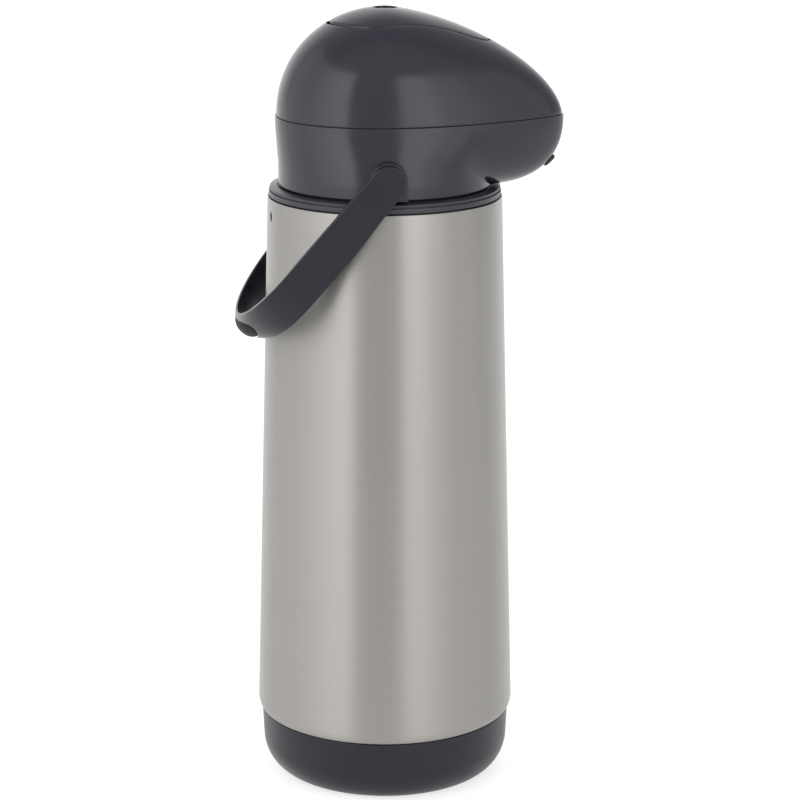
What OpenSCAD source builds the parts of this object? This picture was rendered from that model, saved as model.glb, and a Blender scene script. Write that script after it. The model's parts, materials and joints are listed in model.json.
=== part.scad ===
// Pump airpot: glass vacuum flask in a tapered steel shell, with a press-pump head and a bail handle.
// Origin: centre of the base's underside. +Z is up, +X points to the spout, Y runs across the handle.

/* [Steel shell] */
// Outer radius of the steel shell at its widest, just above the base
shell_low_r = 67; // [66:0.5:68]
// Outer radius of the steel shell under the collar
shell_top_r = 59.6; // [59.6:0.1:60.5]
// Height of the steel shell's lower edge
shell_low_z = 33.4; // [32:0.2:34]
// Height of the steel shell's upper edge
shell_top_z = 306.5; // [305:0.5:306.5]
// Wall of the steel sheet
shell_wall = 0.6; // [0.4:0.1:0.8]

/* [Base] */
// Outer radius of the base cup at its upper edge
base_r = 65.2; // [64.5:0.1:65.5]
// Height of the base cup
base_h = 33; // [31:0.5:33]
// Width of the rounded lower corner
base_corner_w = 12.4; // [8:0.2:14]
// Height of the rounded lower corner
base_corner_h = 16.4; // [10:0.2:18]

/* [Flask] */
// Outer radius of the outer glass
flask_r = 57; // [54:0.5:57]
// Radius of the flask's mouth
mouth_r = 25; // [24:0.5:25.5]
// Wall of each glass
glass_wall = 1.2; // [1:0.1:1.4]
// Height of the mouth's rim
mouth_z = 302.6; // [302:0.1:302.6]

/* [Pump head] */
// Height of the seam between the lower and the upper housing
seam_z = 347; // [345:0.5:349]
// Height of the dome above the seam
dome_h = 54.3; // [52:0.1:56]
// Reach of the beak at the seam, from the axis
beak_x = 90.3; // [88:0.1:92]
// Reach of the head's back at the seam
back_x = 55.6; // [55:0.1:56.5]
// Radius of the skirt over the collar
skirt_r = 54.1; // [53.6:0.1:54.4]
// Wall of the housings
housing_wall = 2.4; // [2:0.1:2.8]

/* [Press pad] */
// Half length of the pad
pad_half_l = 39.7; // [38:0.1:41]
// Middle of the pad along X
pad_mid_x = 12.1; // [11:0.1:13]
// Gap at the pad's sides
pad_side_gap = 0.6; // [0.5:0.1:0.8]
// Gap behind the pad, wide enough for its swing
pad_rear_gap = 1.8; // [1.7:0.1:2.2]
// Gap in front of the pad
pad_front_gap = 0.9; // [0.7:0.1:1.2]

/* [Handle] */
// Angle of the handle below level, lying back on the shell
handle_rest = 49.1; // [46:0.1:49.1]
// Height of the handle's pivots
pivot_z = 322.7; // [322:0.1:323]
// Gap between the arms' inner faces, halved
arm_in_y = 61; // [61:0.1:61.5]
// Thickness of the arms
arm_t = 4; // [3.5:0.1:4.5]
// Reach of the grip's inner face from the pivots
grip_s = 105.8; // [104:0.2:108]

/* [Hidden] */
$fn = 64;

dark = [0.16, 0.165, 0.175];
satin_dark = [0.13, 0.13, 0.14];
steel = [0.75, 0.73, 0.7];
milky = [0.86, 0.87, 0.86];
clear_tint = [0.8, 0.86, 0.88, 0.5];
rubber = [0.08, 0.08, 0.08];

// Collar and thread
collar_top_z = 311.1;
collar_low_r = 59;
collar_r = 58.5;
collar_in_r = 54;
groove_z = 308.2;
groove_h = 0.5;
thread_r = 52.2;
thread_gap = 0.4;
collar_floor_z = 299.5;
collar_floor_t = 2;
neck_tube_r = 31.5;
neck_tube_bottom_z = 284;
peg_z = 297.6;
peg_hole_r = 3;
peg_r = 2.3;
peg_turns = [194, 14];

// Flask
flask_bottom_z = 17;
flask_shoulder_z = 246;
vacuum_gap = 2.4;
neck_low_z = 276;
neck_joint_z = 301;
flask_neck_r = mouth_r + 2 * glass_wall + 1.8;
tail_tip_r = 3;

// Head
skirt_z = 312.2;
deck_z = 315;
skirt_edge = 0.8;
keel_x0 = 45;
keel_z0 = 311.95;
keel_side = 2.4;
keel_nose = 2.7;
belly_power = 2.5;
seam_half_w = 46.3;
seam_lip = 0.8;
seam_gap = 0.3;
egg_pull = 1.49;
egg_flat = 0.086;
blend_w = 19;
dome_front_power = 1.65;
dome_front_round = 1.5;
dome_back_power = 2.1;
ring_steps = 60;
dome_steps = 48;

// Pump, along X from the axis
pump_x = -18;
tube_x = 16;
tube_r = 4;
tube_bore_r = 3;
seat_top_z = 318;
bellows_r = 26;
bellows_top_z = 366;
plunger_low_z = bellows_top_z + 0.3;
stem_top_z = 383;
stem_r = 5;
spring_r = 14;
spring_wire_r = 0.8;
spring_turns = 7;
valve_r = 6;
ball_r = 3.2;
outlet_z = 338;
outlet_bend_r = 9;
nozzle_tip = [84.4, 321.9];
nozzle_tilt = 47;
nozzle_r = 4;
nozzle_l = 9;
valve_top_z = 324;

// Pad
pad_shell = 2.2;
pad_skirt = 10;
hinge_x = 46.6;
hinge_z = 380.5;
hinge_r = 1.5;
lug_y = 12.4;
lug_t = 2.6;
cap_r = 5.9;
cap_stem_r = 2;
cap_floor_z = seam_z + dome_h - 2;
pusher_z = 388;
pusher_r = 4.6;
screw_spots = [[-33, 30], [-33, -30], [33, 29], [33, -29]];

// Handle
arm_end_r = 9.2;
stub_r = 3;
stub_y = 54.5;
running_gap = 0.05;
boss_y = 60.6;
boss_half_w = 9.3;
bail_bend_s = 67.4;
bail_bend_power = 2.07;
arm_upper = 8.7;
arm_lower = 8.4;
arm_swell = 2.1;
arm_swell_s = 43;
grip_rise = 6.5;
grip_slant = 1.2;
grip_edge_t = 1.6;
grip_crown = 3.7;

// ---------- shared shapes ----------

// Closed skin through rings of equal point counts, running outward or upward
module skin(rings, loop = false) {
    n = len(rings[0]);
    m = len(rings);
    sides = [for (i = [0:m - (loop ? 1 : 2)], j = [0:n - 1])
        let (a = i * n + j, b = i * n + (j + 1) % n, up = ((i + 1) % m) * n)
        each [[a, up + j, up + (j + 1) % n], [a, up + (j + 1) % n, b]]];
    caps = loop ? [] : [[for (j = [0:n - 1]) j], [for (j = [n - 1:-1:0]) (m - 1) * n + j]];
    polyhedron([for (ring = rings) each ring], concat(sides, caps), convexity = 6);
}

// Solid of revolution from a list of [radius, height]
module turned(profile) {
    rotate_extrude() polygon(profile);
}

// Ring or disc between two radii
module ring(r_out, r_in, z_low, z_high) {
    translate([0, 0, z_low]) difference() {
        cylinder(r = r_out, h = z_high - z_low);
        if (r_in > 0) translate([0, 0, -1]) cylinder(r = r_in, h = z_high - z_low + 2);
    }
}

// Straight cylinder along Y, from one side to the other
module across(x, z, r, y_low, y_high) {
    translate([x, y_high, z]) rotate([90, 0, 0]) cylinder(r = r, h = y_high - y_low);
}

function ease(u) = let (c = min(1, max(0, u))) c * c * (3 - 2 * c);
function lerp(a, b, u) = a + (b - a) * u;

// ---------- head surfaces ----------

// Egg-shaped outline between a front and a back reach, blunt at the back
function egg(t, front, back, half_w) =
    let (mid = (front - back) / 2, half = (front + back) / 2, pull = egg_pull * mid / half)
    [mid + half * cos(t), half_w * sin(t) * (1 - pull * cos(t) - egg_flat * pow(cos(t), 2))];

// Point of the upper housing's outside, or of a surface a little inside it
function dome_point(t, v, inset = 0) =
    let (front = (beak_x - seam_lip - inset) * pow(1 - pow(v, dome_front_power), 1 / dome_front_round))
    let (round_off = sqrt(max(0, 1 - pow(v, dome_back_power))))
    let (p = egg(t, front, (back_x - seam_lip - inset) * round_off, (seam_half_w - seam_lip - inset) * round_off))
    [p[0], p[1], seam_z + v * (dome_h - inset)];

// Height of the beak's keel at a station, and the seam's half width there
function keel_at(x) =
    let (u = min(1, max(0, (x - keel_x0) / (beak_x - keel_x0))))
    seam_z - (seam_z - keel_z0) * pow(1 - pow(u, keel_nose), 1 / keel_side);
function seam_w_at(x) =
    let (mid = (beak_x - back_x) / 2, half = (beak_x + back_x) / 2)
    let (c = min(1, max(-1, (x - mid) / half)))
    egg(acos(c), beak_x, back_x, seam_half_w)[1];

// Is a point at height z inside the beak's belly?
function in_belly(x, y, z) =
    let (depth = (seam_z - z) / max(0.001, seam_z - keel_at(x)))
    x < beak_x && depth < 1 && abs(y) < seam_w_at(x) * pow(1 - pow(depth, belly_power), 1 / belly_power);

// Reach of the belly along a direction, halved until it is exact
function belly_reach(turn, z, low = 0, high = 100, step = 0) =
    step == 22 ? low :
    let (mid = (low + high) / 2)
    in_belly(mid * cos(turn), mid * sin(turn), z) ?
        belly_reach(turn, z, mid, high, step + 1) : belly_reach(turn, z, low, mid, step + 1);

// Reach of the round skirt, which turns into the seam's outline higher up
function skirt_reach(seam_reach, z) =
    let (edge = min(1, (z - skirt_z) / skirt_edge))
    let (foot = skirt_r - skirt_edge * (1 - sqrt(1 - pow(1 - edge, 2))))
    lerp(foot, min(seam_reach, back_x), ease((z - 318) / (seam_z - 318)));

// Larger of two reaches, with a soft change of width w
function soft_max(a, b, w) = max(a, b) + (w > 0 ? pow(max(0, w - abs(a - b)), 2) / (4 * w) : 0);

function lower_point(t, z, shift = 0, inset = 0) =
    let (s = egg(t, beak_x, back_x, seam_half_w), turn = atan2(s[1], s[0]))
    let (zz = z - shift, q = (zz - skirt_z) / (seam_z - skirt_z))
    let (belly = abs(turn) < 90 ? belly_reach(turn, zz) : 0)
    let (reach = zz >= seam_z - 0.01 ? norm(s) : soft_max(skirt_reach(norm(s), zz), belly, blend_w * q * (1 - q)))
    [(reach - inset) * cos(turn), (reach - inset) * sin(turn), z];

function lower_ring(z, shift = 0, inset = 0) =
    [for (j = [0:ring_steps - 1]) lower_point(360 * j / ring_steps, z, shift, inset)];

// Half width of the pad or of its opening at a station along it
function pad_w_at(u) = sqrt(max(0, 1 - u * u)) * (20.8 - 13.4 * u + 2.6 * u * u + 12 * pow(u, 3));
function in_pad(p, front_gap, rear_gap, side_gap) =
    let (mid = pad_mid_x + (front_gap - rear_gap) / 2, half = pad_half_l + (front_gap + rear_gap) / 2)
    let (u = (p[0] - mid) / half)
    abs(u) < 1 && abs(p[1]) < pad_w_at(u) + side_gap;

// Level on the dome where a meridian meets the pad's outline or the opening's
function edge_level(t, gaps, inset, low = 0, high = 1, step = 0) =
    step == 18 ? (low + high) / 2 :
    let (mid = (low + high) / 2)
    in_pad(dome_point(t, mid, inset), gaps[0], gaps[1], gaps[2]) ?
        edge_level(t, gaps, inset, low, mid, step + 1) : edge_level(t, gaps, inset, mid, high, step + 1);

pad_gaps = [0, 0, 0];
opening_gaps = [pad_front_gap, pad_rear_gap, pad_side_gap];
dome_turns = [for (j = [0:dome_steps - 1]) 360 * j / dome_steps];
opening_out = [for (t = dome_turns) edge_level(t, opening_gaps, 0)];
opening_in = [for (t = dome_turns) edge_level(t, opening_gaps, housing_wall)];
pad_out = [for (t = dome_turns) edge_level(t, pad_gaps, 0)];
pad_in = [for (t = dome_turns) edge_level(t, [-pad_shell, -pad_shell, -pad_shell], pad_shell)];
pad_crown_v = 0.9995;

// Row of dome points, part of the way from the seam to each meridian's own level
function dome_row(levels, part, inset) =
    [for (j = [0:dome_steps - 1]) dome_point(dome_turns[j], sin(asin(levels[j]) * part), inset)];
// Row of pad points, part of the way from the pad's edge to its crown
function pad_row(levels, part, inset) =
    [for (j = [0:dome_steps - 1]) dome_point(dome_turns[j], lerp(levels[j], pad_crown_v, part), inset)];
function lowered(row, depth) = [for (p = row) [p[0], p[1], p[2] - depth]];
function moved(row, lift) = [for (p = row) p + [0, 0, lift]];

// Inside of the upper housing as a plain solid, which trims posts and lugs
module dome_inside(inset) {
    skin([for (k = [0:10]) [for (t = dome_turns) dome_point(t, min(0.999, sin(9 * k)), inset)]]);
}

// ---------- vessel ----------

module base_cup() {
    wall = 2.6;
    foot_r = base_r - 0.8;
    corner = [for (a = [0:15:90])
        [foot_r - base_corner_w * (1 - pow(cos(a), 1.1)), base_corner_h * (1 - pow(sin(a), 1.1))]];
    corner_in = [for (a = [90:-15:0])
        [foot_r - wall - base_corner_w * (1 - pow(cos(a), 1.1)), wall + base_corner_h * (1 - pow(sin(a), 1.1))]];
    color(satin_dark) turned(concat(
        [[0, wall], [0, 0]],
        [for (i = [len(corner) - 1:-1:0]) corner[i]],
        [[base_r, base_h], [60.8, base_h], [60.8, base_h + 10], [58.3, base_h + 10], [58.3, base_h - 4]],
        [[foot_r - wall, base_h - 6]],
        [for (i = [len(corner_in) - 1:-1:0]) corner_in[i]]
    ));
}

module bottom_ring() {
    z = base_h + 0.5;
    color(satin_dark) turned([
        [61.1, z], [64.3, z], [64.3, z + 5], [65, z + 8], [65, z + 14], [61.1, z + 14]
    ]);
}

module tail_cushion() {
    color(rubber) turned([
        [9, 2.6], [24, 2.6], [24, 9], [31, 22], [28.5, 21], [14.7, 17.8], [9, 17.4]
    ]);
}

module steel_shell() {
    curl_w = shell_low_r - base_r + 0.1;
    curl_h = 5.1;
    curl = [for (a = [90:-15:0]) [base_r - 0.1 + curl_w * cos(a), shell_low_z + curl_h * (1 - sin(a))]];
    curl_in = [for (a = [0:15:90])
        [base_r - 0.1 + (curl_w - shell_wall) * cos(a), shell_low_z + curl_h - (curl_h - shell_wall) * sin(a)]];
    color(steel) difference() {
        turned(concat(
            curl,
            [[shell_top_r, shell_top_z], [shell_top_r - shell_wall, shell_top_z]],
            curl_in
        ));
        for (turn = peg_turns) rotate(turn) translate([50, 0, peg_z])
            rotate([0, 90, 0]) cylinder(r = peg_hole_r, h = 15);
    }
}

module shoulder_collar() {
    sleeve_r = 58.5;
    sleeve_in_r = 56.5;
    floor_low = collar_floor_z - collar_floor_t;
    color(satin_dark) difference() {
        turned([
            [neck_tube_r, neck_tube_bottom_z], [neck_tube_r + 2, neck_tube_bottom_z],
            [neck_tube_r + 2, floor_low], [sleeve_in_r, floor_low], [sleeve_in_r, floor_low - 8],
            [sleeve_r, floor_low - 8], [sleeve_r, shell_top_z + 0.3], [collar_low_r, shell_top_z + 0.3],
            [collar_low_r, groove_z], [collar_r - 0.5, groove_z], [collar_r - 0.5, groove_z + groove_h],
            [collar_r, groove_z + groove_h], [collar_r, collar_top_z - 0.4], [collar_r - 0.4, collar_top_z],
            [collar_in_r + 0.3, collar_top_z], [collar_in_r, collar_top_z - 0.3],
            [collar_in_r, collar_top_z - 3], [thread_r, collar_top_z - 3.6], [thread_r, collar_floor_z],
            [neck_tube_r, collar_floor_z]
        ]);
        for (turn = peg_turns) rotate(turn) translate([54, 0, peg_z])
            rotate([0, 90, 0]) cylinder(r = peg_r, h = 6);
    }
}

// Light pegs that pin the steel shell to the collar
module shell_pegs() {
    color(milky) for (turn = peg_turns) rotate(turn) translate([56.6, 0, peg_z])
        rotate([0, 90, 0]) cylinder(r = peg_r, h = 2.5);
}

// Outline of a glass, from its bottom's centre up its neck to a top height
function glass(r, bottom, shoulder, neck_r, top) = concat(
    [for (a = [-90:15:0]) [r * cos(a), bottom + 0.55 * r * (1 + sin(a))]],
    [for (a = [0:15:75]) [neck_r + (r - neck_r) * cos(a), shoulder + 32 * sin(a)]],
    [[neck_r, shoulder + 33], [neck_r, top]]
);

module glass_shell(r, bottom, shoulder, neck_r, top) {
    outside = glass(r, bottom, shoulder, neck_r, top);
    inside = glass(r - glass_wall, bottom + glass_wall, shoulder - 0.6, neck_r - glass_wall, top);
    turned(concat(outside, [for (i = [len(inside) - 1:-1:0]) inside[i]]));
}

module flask_outer() {
    color(clear_tint) {
        glass_shell(flask_r, flask_bottom_z, flask_shoulder_z, flask_neck_r, neck_joint_z);
        translate([0, 0, flask_bottom_z - 5]) cylinder(r = tail_tip_r, h = 5.6);
    }
}

module flask_inner() {
    r = flask_r - glass_wall - vacuum_gap;
    color(clear_tint)
        glass_shell(r, flask_bottom_z + 5, flask_shoulder_z - 4, mouth_r + glass_wall, neck_low_z);
}

// Neck of the inner glass, with the rim that closes the vacuum at the top
module flask_neck() {
    color(clear_tint) turned([
        [mouth_r, neck_low_z], [mouth_r + glass_wall, neck_low_z], [mouth_r + glass_wall, neck_joint_z],
        [flask_neck_r, neck_joint_z], [flask_neck_r, mouth_z - 0.6],
        [flask_neck_r - 0.6, mouth_z], [mouth_r + 0.6, mouth_z], [mouth_r, mouth_z - 0.6]
    ]);
}

module neck_sleeve() {
    color(milky) turned([
        [flask_neck_r, 285], [neck_tube_r, 285], [neck_tube_r, collar_floor_z],
        [neck_tube_r + 2.5, collar_floor_z], [neck_tube_r + 2.5, collar_floor_z + 1.4],
        [flask_neck_r, collar_floor_z + 1.4]
    ]);
}

module mouth_seal() {
    color(milky) turned([
        [23.5, mouth_z + 0.3], [29.6, mouth_z + 0.3], [29.6, mouth_z + 3.3], [23.5, mouth_z + 3.3]
    ]);
}

// ---------- head ----------

module boss(side) {
    y_low = side > 0 ? 50 : -boss_y;
    y_high = side > 0 ? boss_y : -50;
    across(0, pivot_z, boss_half_w, y_low, y_high);
    translate([-boss_half_w, y_low, skirt_z + 1]) cube([2 * boss_half_w, y_high - y_low, pivot_z - skirt_z - 1]);
}

// Frame at the nozzle's mouth, with +Z back along the nozzle into the beak
module nozzle_place() {
    translate([nozzle_tip[0], 0, nozzle_tip[1]]) rotate([0, nozzle_tilt - 90, 0]) children();
}

module head_lower() {
    outer_levels = [for (k = [0:14]) skirt_z + (seam_z - skirt_z) * pow(k / 14, 1.7)];
    inner_levels = [for (k = [10:-1:0]) deck_z + (seam_z - deck_z) * pow(k / 10, 1.5)];
    color(dark) difference() {
        union() {
            skin(concat(
                [for (z = outer_levels) lower_ring(z)],
                [for (z = inner_levels) lower_ring(z, z > seam_z - 0.1 ? 0 : deck_z - skirt_z - 0.2, housing_wall)]
            ));
            ring(thread_r - thread_gap, thread_r - thread_gap - 2.4, 301.5, skirt_z + 0.4);
            boss(-1);
            boss(1);
        }
        ring(45, 0, deck_z, pivot_z + 12);
        across(0, pivot_z, stub_r + running_gap, 54, 62);
        across(0, pivot_z, stub_r + running_gap, -62, -54);
        translate([tube_x, 0, 300]) cylinder(r = valve_r, h = 20);
        translate([pump_x, 0, 300]) cylinder(r = 5, h = 20);
        for (spot = screw_spots) translate([spot[0], spot[1], 300]) cylinder(r = 1.8, h = 20);
        nozzle_place() translate([0, 0, -4]) cylinder(r = nozzle_r + 0.1, h = 14);
    }
}

module post(x, y) {
    translate([x, y, deck_z]) cylinder(r = 3.6, h = 84);
}

module hinge_lug(y) {
    translate([hinge_x - 2.8, y, hinge_z - 3.5]) cube([6.3, lug_t, 12]);
}

module head_upper() {
    color(dark) difference() {
        union() {
            skin(concat(
                [moved(dome_row(opening_out, 0, 0), seam_gap)],
                [for (k = [1:11]) dome_row(opening_out, k / 11, 0)],
                [for (k = [11:-1:1]) dome_row(opening_in, k / 11, housing_wall)],
                [moved(dome_row(opening_in, 0, housing_wall), seam_gap)]
            ), loop = true);
            intersection() {
                union() {
                    for (spot = screw_spots) post(spot[0], spot[1]);
                    hinge_lug(lug_y);
                    hinge_lug(-lug_y - lug_t);
                }
                union() {
                    dome_inside(housing_wall / 2);
                    translate([-60, -50, deck_z]) cube([150, 100, seam_z - deck_z + 0.5]);
                }
            }
        }
        for (spot = screw_spots) translate([spot[0], spot[1], deck_z - 1]) cylinder(r = 1.4, h = 14);
        across(hinge_x, hinge_z, hinge_r, -lug_y - lug_t, lug_y + lug_t);
    }
}

module housing_screws() {
    color(steel) for (spot = screw_spots) translate([spot[0], spot[1], 0]) difference() {
        union() {
            translate([0, 0, skirt_z - 2]) cylinder(r = 3, h = 2);
            translate([0, 0, skirt_z - 1]) cylinder(r = 1.35, h = 14);
        }
        translate([-2, -0.4, skirt_z - 3]) cube([4, 0.8, 2]);
        translate([-0.4, -2, skirt_z - 3]) cube([0.8, 4, 2]);
    }
}

module stopper() {
    low = mouth_z + 3.5;
    color(milky) difference() {
        union() {
            ring(31.5, 0, low, low + 3);
            ring(31.5, 29, low, skirt_z);
            ring(31.5, 29.9, mouth_z + 1, low + 1);
            translate([pump_x, 0, low]) cylinder(r = 7, h = skirt_z - low);
        }
        translate([tube_x, 0, low - 1]) cylinder(r = valve_r, h = 12);
        translate([pump_x, 0, low - 1]) cylinder(r = 4, h = 12);
    }
}

module dip_tube() {
    color(milky) translate([tube_x, 0, 0]) difference() {
        translate([0, 0, 30]) cylinder(r = tube_r, h = 277);
        translate([0, 0, 29]) cylinder(r = tube_bore_r, h = 279);
        translate([-5, 0, 30]) rotate([0, 30, 0]) translate([-2, -5, -8]) cube([16, 10, 8]);
    }
}

module valve_housing() {
    color(milky) translate([tube_x, 0, 0]) turned([
        [tube_r, 300], [valve_r, 300], [valve_r, valve_top_z], [3.9, valve_top_z], [3.9, 327], [tube_bore_r, 327],
        [tube_bore_r, 320], [4.2, 318.5], [4.2, 310.5], [2.4, 308.8], [2.4, 307.2], [tube_r, 307.2]
    ]);
}

module check_ball() {
    color(steel) translate([tube_x, 0, 311.05]) sphere(r = ball_r);
}

// Middle line of the outlet: up from the valve, forward under the dome, down to the nozzle, as [x, z, heading]
outlet_slope_l = (outlet_z - outlet_bend_r * (1 - cos(nozzle_tilt)) - nozzle_tip[1]) / sin(nozzle_tilt);
outlet_run_x = nozzle_tip[0] - outlet_slope_l * cos(nozzle_tilt) - outlet_bend_r * sin(nozzle_tilt);
outlet_line = concat(
    [[tube_x, valve_top_z + 0.2, 90]],
    [for (a = [0:18:90]) [
        tube_x + outlet_bend_r * (1 - cos(a)), outlet_z - outlet_bend_r * (1 - sin(a)), 90 - a]],
    [for (k = [0:3]) let (a = k * nozzle_tilt / 3)
        [outlet_run_x + outlet_bend_r * sin(a), outlet_z - outlet_bend_r * (1 - cos(a)), -a]],
    [[
        nozzle_tip[0] - (nozzle_l + 0.2) * cos(nozzle_tilt),
        nozzle_tip[1] + (nozzle_l + 0.2) * sin(nozzle_tilt), -nozzle_tilt
    ]]
);
function outlet_ring(p, r) = [for (u = [0:30:330])
    [p[0] - r * cos(u) * sin(p[2]), -r * sin(u), p[1] + r * cos(u) * cos(p[2])]];

module outlet_tube() {
    last = len(outlet_line) - 1;
    color(milky) skin(concat(
        [for (k = [0:last]) outlet_ring(outlet_line[k], tube_r + 1.4)],
        [for (k = [last:-1:0]) outlet_ring(outlet_line[k], tube_r + 0.2)]
    ), loop = true);
}

module nozzle() {
    color(rubber) nozzle_place() difference() {
        cylinder(r = nozzle_r, h = nozzle_l);
        translate([0, 0, -1]) cylinder(r = 2.6, h = 13);
    }
}

module bellows_seat() {
    color(milky) translate([pump_x, 0, 0]) difference() {
        union() {
            ring(24.6, 5, deck_z, seat_top_z);
            ring(bellows_r - 1, 22, deck_z, deck_z + 1.2);
        }
    }
}

// Pleated rubber wall, fixed below and carried by the plunger above
module bellows() {
    pleats = 6;
    pitch = (bellows_top_z - seat_top_z) / pleats;
    wall = 1.2;
    outside = [for (k = [0:pleats - 1]) each [
        [bellows_r - 6, seat_top_z + k * pitch], [bellows_r, seat_top_z + (k + 0.5) * pitch]
    ]];
    inside = [for (p = outside) p - [wall, 0]];
    color(rubber) translate([pump_x, 0, 0]) turned(concat(
        outside, [[bellows_r - 6, bellows_top_z], [bellows_r - 6 - wall, bellows_top_z]],
        [for (i = [len(inside) - 1:-1:0]) inside[i]]
    ));
}

module return_spring() {
    sides = 6;
    per_turn = 14;
    low = seat_top_z + spring_wire_r + 0.1;
    high = bellows_top_z - spring_wire_r - 0.1;
    steps = spring_turns * per_turn;
    color(steel) translate([pump_x, 0, 0]) skin([for (k = [0:steps])
        let (turn = 360 * k / per_turn, z = lerp(low, high, k / steps))
        [for (j = [0:sides - 1]) let (a = -360 * j / sides, reach = spring_r + spring_wire_r * cos(a))
            [reach * cos(turn), reach * sin(turn), z + spring_wire_r * sin(a)]]]);
}

module plunger() {
    color(milky) translate([pump_x, 0, 0]) {
        ring(23, 3, plunger_low_z, plunger_low_z + 3);
        ring(stem_r, 3, plunger_low_z + 2, stem_top_z);
        for (turn = [45:90:315]) rotate(turn) translate([stem_r - 1, -0.8, plunger_low_z + 2]) cube([14, 1.6, 8]);
    }
}

module air_valve() {
    color(rubber) translate([pump_x, 0, 0]) {
        ring(stem_r, 3, stem_top_z, stem_top_z + 3.6);
        ring(4.2, 3, stem_top_z + 3.6, pusher_z - 0.3);
    }
}

// ---------- press pad ----------

module press_pad() {
    color(dark) difference() {
        union() {
            skin(concat(
                [for (k = [7:-1:0]) pad_row(pad_in, k / 7, pad_shell)],
                [lowered(pad_row(pad_in, 0, pad_shell), pad_skirt - pad_shell)],
                [lowered(pad_row(pad_out, 0, 0), pad_skirt)],
                [for (k = [0:7]) pad_row(pad_out, k / 7, 0)]
            ));
            translate([pump_x, 0, pusher_z + pusher_r]) sphere(r = pusher_r);
            translate([0, 0, cap_floor_z - 3.5]) cylinder(r = cap_r + 1.8, h = 4.2);
            for (y = [2.6, -5]) translate([hinge_x - 3, y, hinge_z - 3]) cube([5.5, 2.4, 6.5]);
        }
        across(hinge_x, hinge_z, hinge_r + running_gap, -lug_y, lug_y);
        translate([0, 0, cap_floor_z]) cylinder(r = cap_r + 0.1, h = 4);
        translate([0, 0, cap_floor_z - 4]) cylinder(r = cap_stem_r, h = 5);
    }
}

module pad_cap() {
    color(rubber) translate([0, 0, cap_floor_z]) {
        cylinder(r = cap_r, h = 0.7);
        translate([0, 0, -3.9]) cylinder(r = cap_stem_r, h = 4.2);
    }
}

module pad_hinge_pin() {
    color(steel) across(hinge_x, hinge_z, hinge_r, -lug_y - lug_t, lug_y + lug_t);
}

// ---------- handle ----------

// Half of the grip's inner line, from an arm's pivot to the middle: [along, across, grip share]
bail_half = concat(
    [for (s = [1, 15, 30, 45, 60]) [s, arm_in_y, 0]],
    [for (a = [0:7.5:90]) [
        bail_bend_s + (grip_s - bail_bend_s) * pow(sin(a), 2 / bail_bend_power),
        arm_in_y * pow(max(0, cos(a)), 2 / bail_bend_power), pow(sin(a), 2)]]
);
bail_line = concat(
    bail_half,
    [for (i = [len(bail_half) - 2:-1:0]) [bail_half[i][0], -bail_half[i][1], bail_half[i][2]]]
);

// Lower edge of the handle's section, which swells along the arms and rises towards the grip
function bail_lower(s, grip) = grip_rise * grip * grip - arm_lower - arm_swell * ease(s / arm_swell_s);
// Point of the handle from its place along the arms, across and up
function bail_place(s, y, n) = [
    -s * cos(handle_rest) - n * sin(handle_rest), y,
    pivot_z - s * sin(handle_rest) + n * cos(handle_rest)];

// Thickness over the section's height, flat in the arms and crowned in the grip
function bail_thick(nu, grip) =
    lerp(arm_t, grip_edge_t + grip_crown * pow(max(0, 1 - pow(abs(nu + 0.1), 2.4)), 0.8), grip);

function bail_section(i) =
    let (p = bail_line[i], last = len(bail_line) - 1)
    let (before = bail_line[max(0, i - 1)], after = bail_line[min(last, i + 1)])
    let (run = [after[0] - before[0], after[1] - before[1]] / norm([after[0] - before[0], after[1] - before[1]]))
    let (out = [-run[1], run[0]], grip = p[2], low = bail_lower(p[0], grip))
    let (rows = [-1, -0.75, -0.35, 0.1, 0.5, 0.8, 1])
    let (inner = [for (nu = rows) [grip_slant * grip * (1 - nu) / 2, nu]])
    let (outer = [for (k = [len(rows) - 1:-1:0]) let (nu = rows[k])
        [grip_slant * grip * (1 - nu) / 2 + bail_thick(nu, grip) * (abs(nu) == 1 ? 0.7 : 1), nu]])
    [for (q = concat(inner, outer))
        bail_place(p[0] + out[0] * q[0], p[1] + out[1] * q[0], lerp(low, arm_upper, (q[1] + 1) / 2))];

module handle() {
    color(satin_dark) union() {
        skin([for (i = [0:len(bail_line) - 1]) bail_section(i)]);
        for (side = [-1, 1]) {
            eye_t = arm_t + 0.2;
            eye_low = side > 0 ? arm_in_y - 0.1 : -arm_in_y + 0.1 - eye_t;
            stub_low = side > 0 ? stub_y : -arm_in_y - 1;
            across(0, pivot_z, arm_end_r, eye_low, eye_low + eye_t);
            across(0, pivot_z, stub_r, stub_low, stub_low + arm_in_y + 1 - stub_y);
        }
    }
}

base_cup();
bottom_ring();
tail_cushion();
steel_shell();
shoulder_collar();
shell_pegs();
flask_outer();
flask_inner();
flask_neck();
neck_sleeve();
mouth_seal();
head_lower();
head_upper();
housing_screws();
stopper();
dip_tube();
valve_housing();
check_ball();
outlet_tube();
nozzle();
bellows_seat();
bellows();
return_spring();
plunger();
air_valve();
press_pad();
pad_cap();
pad_hinge_pin();
handle();
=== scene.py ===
import json
import math

import bmesh
import bpy
import numpy as np
from mathutils import Matrix, Vector


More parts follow.
